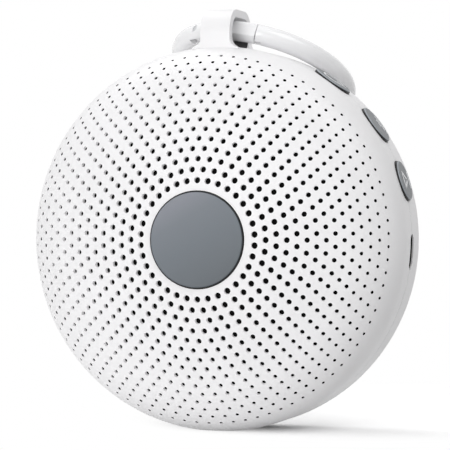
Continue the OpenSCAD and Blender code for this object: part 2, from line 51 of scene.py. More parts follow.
WHITE = (1.0, 1.0, 1.0)

Pair = tuple[float, float]
Colour = tuple[float, float, float]
Socket = bpy.types.NodeSocket
Feed = Socket | float | Colour


class Body(Enum):
    """The bodies that the new pieces ride on."""

    HOUSING = "body"
    NECK = "neck"
    POWER = "power_key"
    VOLUME = "volume_key"
    SOUND = "sound_key"


KEY_ANGLES = {Body.POWER: 54.5, Body.VOLUME: 36.0, Body.SOUND: 17.5}  # degrees above level


# ---------------------------------------------------------------- finishes


class NodeSheet:
    """The node tree of a material or a world, written to in short calls."""

    def __init__(self, owner: bpy.types.Material | bpy.types.World) -> None:
        """Opens a node tree.

        Args:
            owner: The material or the world that it belongs to.
        """
        owner.use_nodes = True
        self.owner = owner
        self.tree = owner.node_tree
        self.shader = self.tree.nodes.get("Principled BSDF")

    @classmethod
    def blank(cls, name: str) -> "NodeSheet":
        """Returns the sheet of a new material."""
        return cls(bpy.data.materials.new(name))

    def feed(self, target: Socket, value: Feed) -> None:
        """Gives an input its value.

        Args:
            target: The input.
            value: A number, a vector or a colour, or the output to join to it.
        """
        if isinstance(value, Socket):
            self.tree.links.new(value, target)
        else:
            target.default_value = (*value, 1) if target.type == "RGBA" else value

    def add(
        self, kind: str, inputs: dict[str | int, Feed] | None = None, **settings: object
    ) -> bpy.types.Node:
        """Adds a node.

        Args:
            kind: The node's type name after ShaderNode.
            inputs: What its inputs are fed, by their name or their place.
            settings: Attributes to set on it.

        Returns:
            The new node.
        """
        made = self.tree.nodes.new(f"ShaderNode{kind}")
        for key, value in settings.items():
            setattr(made, key, value)
        for key, value in (inputs or {}).items():
            self.feed(made.inputs[key], value)
        return made

    def drive(self, **values: Feed) -> None:
        """Feeds the shader's inputs, named with underscores for spaces."""
        for key, value in values.items():
            self.feed(self.shader.inputs[key.replace("_", " ")], value)

    def place(self) -> Socket:
        """Returns the place in Object coordinates."""
        return self.add("TexCoord").outputs["Object"]

    def maths(self, operation: str, *inputs: Feed) -> Socket:
        """Adds a sum on numbers.

        Args:
            operation: The Math node's operation.
            inputs: Its numbers.

        Returns:
            The result.
        """
        made = self.add("Math", dict(enumerate(inputs)), operation=operation)
        return made.outputs["Value"]

    def vector(self, operation: str, *inputs: Feed) -> Socket:
        """Adds a sum on vectors.

        Args:
            operation: The Vector Math node's operation.
            inputs: Its vectors.

        Returns:
            The result, a number or a vector.
        """
        made = self.add("VectorMath", dict(enumerate(inputs)), operation=operation)
        gives_number = operation in ("LENGTH", "DISTANCE", "DOT_PRODUCT")
        return made.outputs["Value" if gives_number else "Vector"]

    def product(self, factors: Iterable[Feed]) -> Socket:
        """Returns the product of two or more factors."""
        return reduce(lambda first, second: self.maths("MULTIPLY", first, second), factors)

    def about_axis(self) -> tuple[Socket, bpy.types.Node]:
        """Adds the place about the body's axis.

        Returns:
            The distance from it, and a node that gives X, Y and the height above it.
        """
        centred = self.vector("SUBTRACT", self.place(), (0, 0, AXIS_Z * MM))
        radius = self.vector("LENGTH", self.vector("MULTIPLY", centred, (1, 0, 1)))
        return radius, self.add("SeparateXYZ", {"Vector": centred})

    def noise(self, size: float, detail: float, stretch: Colour = (1, 1, 1)) -> Socket:
        """Adds noise in Object coordinates.

        Args:
            size: Size of a grain in metres.
            detail: Number of finer layers.
            stretch: Scale along each axis.

        Returns:
            The noise's factor.
        """
        turn = self.add("Mapping", {"Vector": self.place(), "Scale": stretch})
        inputs = {"Vector": turn.outputs["Vector"], "Scale": 1 / size, "Detail": detail}
        return self.add("TexNoise", inputs).outputs["Fac"]

    def ranged(
        self, value: Socket, source: Pair, target: Pair = (0.0, 1.0), smooth: bool = False
    ) -> Socket:
        """Maps a range to another, and holds its ends.

        Args:
            value: The value to map.
            source: Its two ends.
            target: What the two ends become.
            smooth: Whether it eases in and out.

        Returns:
            The mapped value.
        """
        inputs = dict(zip(("From Min", "From Max", "To Min", "To Max"), (*source, *target)))
        kind = "SMOOTHSTEP" if smooth else "LINEAR"
        made = self.add("MapRange", {"Value": value, **inputs}, interpolation_type=kind)
        return made.outputs["Result"]

    def spread(self, noise: Socket, low: float, high: float) -> Socket:
        """Returns noise, which mostly lies in 0.3..0.7, mapped to low..high."""
        return self.ranged(noise, (0.3, 0.7), (low, high))

    def blend(self, factor: Socket, first: Feed, second: Feed) -> Socket:
        """Mixes two colours.

        Args:
            factor: Share of the second colour.
            first: First colour.
            second: Second colour.

        Returns:
            The mixed colour.
        """
        made = self.add("Mix", {0: factor, 6: first, 7: second}, data_type="RGBA")
        return made.outputs[2]

    def cover(self, factor: Socket, colour: Feed) -> None:
        """Lays a colour over the one that the shader has.

        Args:
            factor: Share of the new colour.
            colour: The new colour.
        """
        present = self.shader.inputs["Base Color"].links[0].from_socket
        self.drive(Base_Color=self.blend(factor, present, colour))

    def ramp(self, factor: Socket, stops: Sequence[tuple[float, Colour]]) -> Socket:
        """Adds a colour ramp.

        Args:
            factor: The place on the ramp, from 0 to 1.
            stops: Each stop's place and colour.

        Returns:
            The colour.
        """
        made = self.add("ValToRGB", {"Fac": factor})
        elements = made.color_ramp.elements
        while len(elements) < len(stops):
            elements.new(0.5)
        for element, (position, colour) in zip(elements, stops):
            element.position = position
            element.color = (*colour, 1)
        return made.outputs["Color"]

    def bump(self, height: Socket, depth: float, strength: float) -> None:
        """Drives the shader's normal with a height.

        Args:
            height: The height.
            depth: Depth in micrometres that a height of 1 stands for.
            strength: Strength from 0 to 1.
        """
        inputs = {"Height": height, "Distance": depth * MICRON, "Strength": strength}
        self.drive(Normal=self.add("Bump", inputs).outputs["Normal"])

    def seen_directly(self) -> Socket:
        """Adds a factor that is 1 for camera, glossy and transmission rays.

        Returns:
            The factor.
        """
        path = self.add("LightPath").outputs
        seen = self.maths("MAXIMUM", path["Is Camera Ray"], path["Is Glossy Ray"])
        return self.maths("MAXIMUM", seen, path["Is Transmission Ray"])

    def mix_shaders(self, factor: Socket, first: Socket, second: Socket) -> Socket:
        """Returns two shaders mixed by the share of the second."""
        return self.add("MixShader", {"Fac": factor, 1: first, 2: second}).outputs["Shader"]


def shade(colour: Colour, factor: float) -> Colour:
    """Returns a colour multiplied by a factor."""
    return tuple(min(1.0, c * factor) for c in colour)


def metres(lengths: Pair) -> Pair:
    """Returns two lengths in millimetres as metres."""
    return lengths[0] * MM, lengths[1] * MM


@dataclass(frozen=True)
class MouldedPlastic:
    """Plastic from a tool with a fine spark-eroded grain.

    Grain and cloud sizes are in millimetres. The grain's depth is in micrometres.
    """

    name: str
    colour: Colour
    roughness: float = 0.4
    grain: float = 0.22
    grain_depth: float = 6.0
    mottle: float = 0.012
    coat: float = 0.0
    specular: float = 0.5
    cloud: float = 14.0
    uneven: float = 0.04
    coat_roughness: float = 0.08

    def build(self) -> bpy.types.Material:
        """Builds the material.

        Returns:
            The new material.
        """
        sheet = NodeSheet.blank(self.name)
        tint = sheet.spread(sheet.noise(self.cloud * MM, detail=3), 0, 1)
        darker, paler = (shade(self.colour, 1 + step) for step in (-self.mottle, self.mottle))
        grain = sheet.noise(self.grain * MM, detail=2)
        sheet.drive(
            Base_Color=sheet.blend(tint, darker, paler),
            Roughness=sheet.spread(
                grain, self.roughness - self.uneven, self.roughness + self.uneven
            ),
            Coat_Weight=self.coat,
            Coat_Roughness=self.coat_roughness,
            Specular_IOR_Level=self.specular,
        )
        sheet.bump(grain, self.grain_depth, strength=1.0)
        return sheet.owner


@dataclass(frozen=True)
class DomeProfile:
    """The front's two tangent arcs, revolved about the body's axis. Sizes are in millimetres."""

    crown_r: float = 153.5
    apex_y: float = -19.88
    edge_r: float = 15.3
    edge_ring_r: float = 34.7
    edge_ring_y: float = -0.153
    tangent_r: float = 38.54

    def depth(self, sheet: NodeSheet) -> Socket:
        """Adds the depth below the front's skin, in metres.

        Args:
            sheet: The node tree to add to.

        Returns:
            The depth.
        """
        radius, parts = sheet.about_axis()
        spot = sheet.add("CombineXYZ", {"X": radius, "Y": parts.outputs["Y"]}).outputs["Vector"]
        crown, edge = (
            sheet.maths(
                "SUBTRACT", arc_r * MM, sheet.vector("DISTANCE", spot, (*metres(centre), 0))
            )
            for arc_r, centre in (
                (self.crown_r, (0, self.apex_y + self.crown_r)),
                (self.edge_r, (self.edge_ring_r, self.edge_ring_y)),
            )
        )
        rolled = sheet.maths("GREATER_THAN", radius, self.tangent_r * MM)
        return sheet.add("Mix", {0: rolled, 2: crown, 3: edge}, data_type="FLOAT").outputs[0]


@dataclass(frozen=True)
class ShadedShell:
    """A shell's plastic with painted shade: its inner side is coloured black, so that holes
    and gaps look dark as if in shade.

    Sizes are in millimetres. The painted shade starts at a depth that runs from the first of
    unshaded_depth to the second between the two radii of unshaded_r.
    """

    plastic: MouldedPlastic
    perforated: bool
    profile: DomeProfile = DomeProfile()
    disc_hole_r: float = 12.9
    # How deep the holes stay white above the painted shade, from the inner to the outer radius.
    unshaded_r: Pair = (38.0, 45.0)
    unshaded_depth: Pair = (0.95, -0.05)
    body_r: float = 50.0
    side_depth: float = 0.4
    side_y: Pair = (0.0, 12.6)
    top_depth: float = 3.0
    # The painted shade's colour and the depths over which it fades in.
    painted_shade: Colour = (0.002, 0.002, 0.002)
    shade_edge: Pair = (0.1, 0.15)
    painted_glow: float = 0.13
    glow_edge: Pair = (0.1, 0.2)

    def inside_wall(self, sheet: NodeSheet) -> Socket:
        """Adds a factor that is 1 on the inner side of the side wall and in its openings, where
        the gaps get painted shade.

        Args:
            sheet: The node tree to add to.

        Returns:
            The factor.
        """
        radius, parts = sheet.about_axis()
        tests = (
            (radius, "LESS_THAN", self.body_r - self.side_depth),
            (parts.outputs["Y"], "GREATER_THAN", self.side_y[0]),
            (parts.outputs["Y"], "LESS_THAN", self.side_y[1]),
            (parts.outputs["Z"], "LESS_THAN", self.body_r - self.top_depth),
        )
        return sheet.product([sheet.maths(test, value, size * MM) for value, test, size in tests])

    def behind_grille(self, sheet: NodeSheet) -> Socket:
        """Adds a factor that is 1 deeper than the white part of the sound holes, for painted
        shade.

        Args:
            sheet: The node tree to add to.

        Returns:
            The factor.
        """
        radius, _ = sheet.about_axis()
        # The holes stay white less deep further out, so the outer ones get more painted shade.
        unshaded = sheet.ranged(radius, metres(self.unshaded_r), metres(self.unshaded_depth))
        beyond_disc = sheet.maths("GREATER_THAN", radius, self.disc_hole_r * MM)
        limit = sheet.maths("MULTIPLY", unshaded, beyond_disc)
        past = sheet.maths("SUBTRACT", self.profile.depth(sheet), limit)
        return sheet.ranged(past, metres(self.shade_edge))

    def paint_glow_in_walls(self, sheet: NodeSheet, shaded: Socket) -> None:
        """Paints a glow into the walls of the holes near the skin: painted light that stands for
        the light the white plastic passes into them.

        Args:
            sheet: The node tree to add to.
            shaded: The factor that is 1 where shade is painted.
        """
        begun = sheet.ranged(self.profile.depth(sheet), metres(self.glow_edge))
        unshaded = sheet.maths("SUBTRACT", 1.0, shaded)
        # Painted glow: emission makes the white hole walls shine though they are no lamp.
        glow = sheet.product((begun, unshaded, self.painted_glow))
        sheet.drive(Emission_Strength=glow, Emission_Color=WHITE)

    def build(self) -> bpy.types.Material:
        """Builds the material.

        Returns:
            The new material.
        """
        sheet = NodeSheet(self.plastic.build())
        factor = self.inside_wall(sheet)
        if self.perforated:
            grille = self.behind_grille(sheet)
            factor = sheet.maths("MAXIMUM", factor, grille)
            self.paint_glow_in_walls(sheet, grille)
        # Painted shade: black over the inner side and deep in the holes, with no reflection there.
        sheet.cover(factor, self.painted_shade)
        shade_specular = sheet.ranged(factor, (0.0, 1.0), (self.plastic.specular, 0.0))
        sheet.drive(Specular_IOR_Level=shade_specular)
        return sheet.owner


@dataclass(frozen=True)
class DiscPlastic:
    """The centre disc's plastic with painted light: paler at its upper left as if lit from
    there, and painted shade round its edge, where the gap to the shell is.

    Sizes are in millimetres. The slope is the ramp's share of X and of the height.
    """

    plastic: MouldedPlastic
    radius: float = 12.25
    edge: float = 0.2
    slope: Pair = (0.45, -0.8)
    # Painted shading: the disc's colour paler towards the upper left, darker to the lower right.
    stops: tuple[tuple[float, Colour], ...] = (
        (0.0, (0.225, 0.24, 0.27)),
        (0.09, (0.2, 0.213, 0.245)),
        (0.27, (0.148, 0.168, 0.193)),
        (0.54, (0.12, 0.14, 0.162)),
        (0.79, (0.1, 0.117, 0.134)),
        (1.0, (0.08, 0.094, 0.108)),
    )
    # Painted shade in the gap round the disc.
    gap_shade: Colour = (0.012, 0.014, 0.016)

    def build(self) -> bpy.types.Material:
        """Builds the material.

        Returns:
            The new material.
        """
        sheet = NodeSheet(self.plastic.build())
        radius, parts = sheet.about_axis()
        right, up = (share / (self.radius * MM) for share in self.slope)
        across = sheet.maths("MULTIPLY", parts.outputs["X"], right)
        along = sheet.maths("MULTIPLY_ADD", parts.outputs["Z"], up, across)
        # Painted light: the ramp runs across the face from upper left to lower right.
        face = sheet.ramp(sheet.ranged(along, (-1.0, 1.0)), self.stops)
        near_edge = sheet.maths("GREATER_THAN", radius, (self.radius - self.edge) * MM)
        sheet.drive(Base_Color=sheet.blend(near_edge, face, self.gap_shade))
        return sheet.owner


@dataclass(frozen=True)
class LugPlastic:
    """The lug's plastic, with painted shadow in the lower half of its opening: black under
    the neck and dark grey lower down.

    Sizes are in millimetres.
    """

    plastic: MouldedPlastic
    half_width: float = 3.7
    centre_y: float = 6.3
    half_length: float = 8.3
    heights: Pair = (98.6, 103.2)
    # Painted shadow: dark grey at the bottom of the opening, black at its top under the neck.
    low: Colour = (0.06, 0.06, 0.062)
    high: Colour = (0.006, 0.006, 0.006)

    def build(self) -> bpy.types.Material:
        """Builds the material.

        Returns:
            The new material.
        """
        sheet = NodeSheet(self.plastic.build())
        parts = sheet.add("SeparateXYZ", {"Vector": sheet.place()}).outputs
        bottom, top = self.heights
        box = (
            ("X", 0.0, self.half_width),
            ("Y", self.centre_y, self.half_length),
            ("Z", (bottom + top) / 2, (top - bottom) / 2),
        )
        shadow_box = sheet.product(
            [
                sheet.maths("COMPARE", parts[axis], centre * MM, reach * MM)
                for axis, centre, reach in box
            ]
        )
        height = sheet.ranged(parts["Z"], metres(self.heights))
        # Painted shadow in the box inside the opening, below the neck.
        sheet.cover(shadow_box, sheet.blend(height, self.low, self.high))
        return sheet.owner


@dataclass(frozen=True)
class KeyPlastic:
    """A button's plastic, with a painted highlight as a paler rim round the face and painted
    shade as a dark flank below it.

    The band is a pair of distances from the body's axis in millimetres. Each stop is a
    share of the band and the factor on the plain colour there.
    """

    plastic: MouldedPlastic
    angle: float
    band: Pair = (50.2, 50.7)
    # Painted shade on the flank, painted highlight on the rim, then the plain colour on the face.
    stops: tuple[Pair, ...] = ((0.1, 0.08), (0.35, 0.35), (0.44, 2.4), (0.92, 2.0), (0.97, 1.0))

    def build(self) -> bpy.types.Material:
        """Builds the material.

        Returns:
            The new material.
        """
        sheet = NodeSheet(self.plastic.build())
        turn = math.radians(self.angle)
        centred = sheet.vector("SUBTRACT", sheet.place(), (0, 0, AXIS_Z * MM))
        height = sheet.vector("DOT_PRODUCT", centred, (math.cos(turn), 0, math.sin(turn)))
        share = sheet.ranged(height, metres(self.band))
        stops = [(place, shade(self.plastic.colour, factor)) for place, factor in self.stops]
        # Painted shade and highlight across the flank and rim.
        sheet.drive(Base_Color=sheet.ramp(share, stops))
        return sheet.owner


@dataclass(frozen=True)
class PlatedMetal:
    """Metal sheet or turned metal with fine drawn lines along one axis.

    The size of a line is in millimetres and its depth in micrometres.
    """

    name: str
    colour: Colour
    roughness: float = 0.3
    lines: Colour = (1, 1, 12)
    line: float = 0.6
    line_depth: float = 4.0
    dull: float = 0.9
    uneven: Pair = (-0.06, 0.08)

    def build(self) -> bpy.types.Material:
        """Builds the material.

        Returns:
            The new material.
        """
        sheet = NodeSheet.blank(self.name)
        drawn = sheet.noise(self.line * MM, detail=3, stretch=self.lines)
        smoother, rougher = (self.roughness + step for step in self.uneven)
        sheet.drive(
            Base_Color=sheet.blend(
                sheet.spread(drawn, 0, 1), shade(self.colour, self.dull), self.colour
            ),
            Roughness=sheet.spread(drawn, smoother, rougher),
            Metallic=1.0,
        )
        sheet.bump(drawn, self.line_depth, strength=0.8)
        return sheet.owner


@dataclass(frozen=True)
class OpenFoam:
    """Foam, felt or pressed paper: matt, with an uneven pile of fibres or cells.

    The size of a cell is in millimetres and its depth in micrometres.
    """

    name: str
    colour: Colour
    cell: float = 0.4
    depth: float = 60.0
    sheen: float = 0.2
    pile: Pair = (0.75, 1.15)

    def build(self) -> bpy.types.Material:
        """Builds the material.

        Returns:
            The new material.
        """
        sheet = NodeSheet.blank(self.name)
        cells = sheet.noise(self.cell * MM, detail=4)
        low, high = (shade(self.colour, factor) for factor in self.pile)
        sheet.drive(
            Base_Color=sheet.blend(sheet.spread(cells, 0, 1), low, high),
            Roughness=0.95,
            Sheen_Weight=self.sheen,
            Specular_IOR_Level=0.2,
        )
        sheet.bump(cells, self.depth, strength=0.8)
        return sheet.owner


@dataclass(frozen=True)
class WovenCloth:
    """Cloth of fine threads that cross at right angles, seen face on.

    The threads' pitch is in millimetres and their depth in micrometres. A thread's low
    side has a share of the colour.
    """

    name: str
    colour: Colour
    pitch: float = 0.35
    wander: float = 0.4
    depth: float = 80.0
    low_side: float = 0.5

    def build(self) -> bpy.types.Material:
        """Builds the material.

        Returns:
            The new material.
        """
        sheet = NodeSheet.blank(self.name)
        bands = 10 / math.pi  # a metre of this texture, at a scale of 1
        waves = {
            "Vector": sheet.place(),
            "Scale": 1 / (bands * self.pitch * MM),
            "Distortion": self.wander,
        }
        cross = sheet.product(
            [
                sheet.add("TexWave", waves, bands_direction=direction).outputs["Fac"]
                for direction in ("X", "Z")
            ]
        )
        sheet.drive(
            Base_Color=sheet.blend(cross, shade(self.colour, self.low_side), self.colour),
            Roughness=0.9,
            Specular_IOR_Level=0.15,
        )
        sheet.bump(cross, self.depth, strength=0.6)
        return sheet.owner


@dataclass(frozen=True)
class LacqueredBoard:
    """Circuit board lacquer with paler copper tracks under it.

    Cells are the fields between the tracks, counted per metre. The tracks' width is a
    share of a cell, and their depth is in micrometres.
    """

    name: str
    colour: Colour
    track: Colour
    cells: float = 260.0
    track_width: float = 0.09
    track_depth: float = 30.0

    def build(self) -> bpy.types.Material:
        """Builds the material.

        Returns:
            The new material.
        """
        sheet = NodeSheet.blank(self.name)
        fields = sheet.add(
            "TexVoronoi",
            {"Vector": sheet.place(), "Scale": self.cells},
            feature="DISTANCE_TO_EDGE",
            distance="CHEBYCHEV",
        )
        tracks = sheet.maths("LESS_THAN", fields.outputs["Distance"], self.track_width)
        sheet.drive(
            Base_Color=sheet.blend(tracks, self.colour, self.track),
            Roughness=0.3,
            Coat_Weight=0.4,
            Coat_Roughness=0.15,
        )
        sheet.bump(tracks, self.track_depth, strength=0.7)
        return sheet.owner


def key_plastic(angle: float) -> MouldedPlastic:
    """Describes the buttons' grey plastic.

    Args:
        angle: The button's angle, which its name gives.

    Returns:
        The plastic.
    """
    return MouldedPlastic(
        f"button_grey_{angle:.0f}", (0.15, 0.16, 0.172), grain_depth=3.0, specular=0.3
    )


@dataclass(frozen=True)
class Finishes:
    """Every finish on the object, built once and shared."""

    front: bpy.types.Material
    rear: bpy.types.Material
    lug: bpy.types.Material
    disc: bpy.types.Material
    ring: bpy.types.Material
    keys: dict[Body, bpy.types.Material]
    legend: bpy.types.Material
    cloth: bpy.types.Material
    black: bpy.types.Material
    steel: bpy.types.Material
    port: bpy.types.Material
    painted_steel: bpy.types.Material
    board: bpy.types.Material
    can: bpy.types.Material
    ivory: bpy.types.Material
    foil: bpy.types.Material
    foam: bpy.types.Material
    wire: bpy.types.Material
    rubber: bpy.types.Material
    paper: bpy.types.Material
    spider: bpy.types.Material
    copper: bpy.types.Material
    ferrite: bpy.types.Material
    phenolic: bpy.types.Material
    foot: bpy.types.Material

    @classmethod
    def make(cls) -> "Finishes":
        """Builds all the finishes.

        Returns:
            The set of materials.
        """
        white = (0.86, 0.855, 0.865)
        front, rear, lug = (
            MouldedPlastic(name, white, roughness=0.42)
            for name in ("front_white", "rear_white", "lug_white")
        )
        slate = MouldedPlastic("disc_slate", (0.13, 0.15, 0.175), roughness=0.38, specular=0.4)
        gloss = MouldedPlastic(
            "ring_gloss", (0.88, 0.88, 0.89), roughness=0.24, grain_depth=0.0, coat=0.3
        )
        jacket = MouldedPlastic("wire_jacket", (0.5, 0.02, 0.015), roughness=0.35, grain_depth=1.0)
        paint = MouldedPlastic("black_paint", (0.015, 0.015, 0.017), roughness=0.45, coat=0.2)
        rubber = MouldedPlastic("surround_rubber", (0.015, 0.015, 0.015), roughness=0.65)
        can = PlatedMetal("drawn_can", (0.78, 0.79, 0.8), roughness=0.28, lines=(1, 8, 1))
        foil = PlatedMetal("pouch_foil", (0.72, 0.73, 0.75), roughness=0.42, lines=(1, 1, 1))
        copper = PlatedMetal("wound_copper", (0.85, 0.42, 0.25), lines=(1, 14, 1))
        paper = OpenFoam("cone_paper", (0.03, 0.03, 0.032), cell=0.5, depth=40.0, sheen=0.1)
        ferrite = OpenFoam(
            "ground_ferrite", (0.06, 0.06, 0.065), cell=0.3, depth=12.0, sheen=0.0
        )
        strip = OpenFoam("phenolic_strip", (0.22, 0.1, 0.03), cell=0.3, depth=10.0, sheen=0.0)
        return cls(
            # Both shells get painted shade in their holes and gaps; the front also gets a painted
            # glow.
            front=ShadedShell(front, perforated=True).build(),
            rear=ShadedShell(rear, perforated=False).build(),
            lug=LugPlastic(lug).build(),
            disc=DiscPlastic(slate).build(),
            ring=gloss.build(),
            keys={
                body: KeyPlastic(key_plastic(angle), angle).build()
                for body, angle in KEY_ANGLES.items()
            },
            legend=MouldedPlastic("legend_print", (0.8, 0.81, 0.82), grain_depth=2.0).build(),
            cloth=WovenCloth("dust_cloth", (0.003, 0.003, 0.003)).build(),
            black=MouldedPlastic("black_resin", (0.02, 0.02, 0.022), roughness=0.5).build(),
            steel=PlatedMetal("zinc_plate", (0.7, 0.71, 0.72)).build(),
            port=PlatedMetal("port_steel", (0.16, 0.16, 0.165), roughness=0.45).build(),
            painted_steel=paint.build(),
            board=LacqueredBoard("board_green", (0.01, 0.09, 0.035), (0.03, 0.17, 0.07)).build(),
            can=can.build(),
            ivory=MouldedPlastic("ivory_nylon", (0.75, 0.7, 0.55), roughness=0.45).build(),
            foil=foil.build(),
            foam=OpenFoam("closed_foam", (0.05, 0.05, 0.052)).build(),
            wire=jacket.build(),
            rubber=rubber.build(),
            paper=paper.build(),
            spider=WovenCloth("spider_weave", (0.5, 0.33, 0.1), pitch=0.5).build(),
            copper=copper.build(),
            ferrite=ferrite.build(),
            phenolic=strip.build(),
            foot=MouldedPlastic("foot_rubber", (0.42, 0.42, 0.43), roughness=0.6).build(),
        )


# ---------------------------------------------------------------- helpers for pieces


def in_scene(name: str, data: bpy.types.ID) -> bpy.types.Object:
    """Puts some data into the scene.

    Args:
        name: The new object's name.
        data: A mesh, a camera or a lamp.

    Returns:
        The new object.
    """
    made = bpy.data.objects.new(name, data)
    bpy.context.scene.collection.objects.link(made)
    return made


def finished_mesh(
    form: bmesh.types.BMesh, name: str, material: bpy.types.Material
) -> bpy.types.Mesh:
    """Turns a bmesh into a mesh with a finish.

    Args:
        form: The bmesh. It is freed here.
        name: The mesh's name.
        material: The finish.

    Returns:
        The new mesh.
    """
    mesh = bpy.data.meshes.new(name)
    form.to_mesh(mesh)
    form.free()
    mesh.materials.append(material)
    return mesh


def dress(node: str, material: bpy.types.Material) -> None:
    """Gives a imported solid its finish.

    Args:
        node: The solid's name.
        material: The finish.
    """
    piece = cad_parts[node]
    piece.data.materials.clear()
    piece.data.materials.append(material)
    LOG.info("dressed %s with %s", node, material.name)


def finish_piece(
    form: bmesh.types.BMesh,
    name: str,
    material: bpy.types.Material,
    body: Body,
    smooth: bool = True,
) -> bpy.types.Object:
    """Turns a finished bmesh into a piece that rides on a body.

    Args:
        form: The mesh, already in place in metres. It is freed here.
        name: The piece's name.
        material: The finish.
        body: The body it rides on.
        smooth: Whether its faces are shaded as one rounded skin.

    Returns:
        The new object.
    """
    for face in form.faces:
        face.smooth = smooth
    piece = in_scene(name, finished_mesh(form, name, material))
    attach(piece, body.value)
    LOG.info("built %s: %d faces", name, len(piece.data.polygons))
    return piece


@dataclass(frozen=True)
class Softening:
    """A rounding of a solid's sharp edges. The width is in millimetres."""

    width: float
    segments: int
    joined_within: float = 0.002
    flat_below: float = 0.6
    sharp_above: float = 32.0

    def apply(
        self, node: str, material: bpy.types.Material, body: Body, slot: str
    ) -> bpy.types.Object:
        """Copies a solid with its edges rounded, and lets the copy stand for it.

        Args:
            node: The solid's name.
            material: The finish.
            body: The body it rides on.
            slot: The record's material slot; not used.

        Returns:
            The new object.
        """
        form = bmesh.new()
        form.from_mesh(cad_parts[node].data)
        bmesh.ops.remove_doubles(form, verts=form.verts, dist=self.joined_within * MM)
        flat = math.radians(self.flat_below)
        bmesh.ops.dissolve_limit(form, angle_limit=flat, verts=form.verts, edges=form.edges)
        piece = finish_piece(form, f"{node}_soft", material, body)
        rounding = piece.modifiers.new("rounding", "BEVEL")
        rounding.width = self.width * MM
        rounding.segments = self.segments
        rounding.limit_method = "ANGLE"
        rounding.angle_limit = math.radians(self.sharp_above)
        rounding.harden_normals = True
        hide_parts(node)
        return piece


# ---------------------------------------------------------------- studio


def facing(direction: Vector) -> Euler:
    """Returns the turn that points a camera or a lamp along a direction."""
    return direction.to_track_quat("-Z", "Y").to_euler()


@dataclass(frozen=True)
class Viewpoint:
    """Camera given by where the front's middle lands in a square frame.

    The target, the distance and the sensor are in millimetres.
    """

    target: Colour = (0.0, -19.1, 49.64)
    distance: float = 569.6
    azimuth: float = 17.65
    elevation: float = 0.67
    focal_px: float = 2256.8
    centre_px: Pair = (197.08, 239.86)
    frame_px: int = 450
    sensor: float = 36.0

    def build(self) -> None:
        """Adds the camera and makes it the scene's."""
        lens = bpy.data.cameras.new("studio_camera")
        lens.sensor_width = self.sensor
        lens.lens = self.focal_px / self.frame_px * self.sensor
        lens.shift_x = (self.frame_px / 2 - self.centre_px[0]) / self.frame_px
        lens.shift_y = (self.centre_px[1] - self.frame_px / 2) / self.frame_px
        lens.clip_start, lens.clip_end = 0.01, 50
        turn, rise = math.radians(self.azimuth), math.radians(self.elevation)
        away = Vector(
            (math.sin(turn) * math.cos(rise), -math.cos(turn) * math.cos(rise), math.sin(rise))
        )
        camera = in_scene("studio_camera", lens)
        camera.location = Vector(self.target) * MM + away * self.distance * MM
        camera.rotation_euler = facing(-away)
        bpy.context.scene.camera = camera


@dataclass(frozen=True)
class Softbox:
    """Square area lamp aimed at the object. Lengths are in metres."""

    name: str
    place: Colour
    size: float
    watts: float
    aim: Colour = (0.0, 0.0, 0.05)

    def build(self) -> None:
        """Adds the lamp."""
        light = bpy.data.lights.new(self.name, "AREA")
        light.size = self.size
        light.energy = self.watts
        lamp = in_scene(self.name, light)
        lamp.location = self.place
        lamp.rotation_euler = facing(Vector(self.aim) - Vector(self.place))


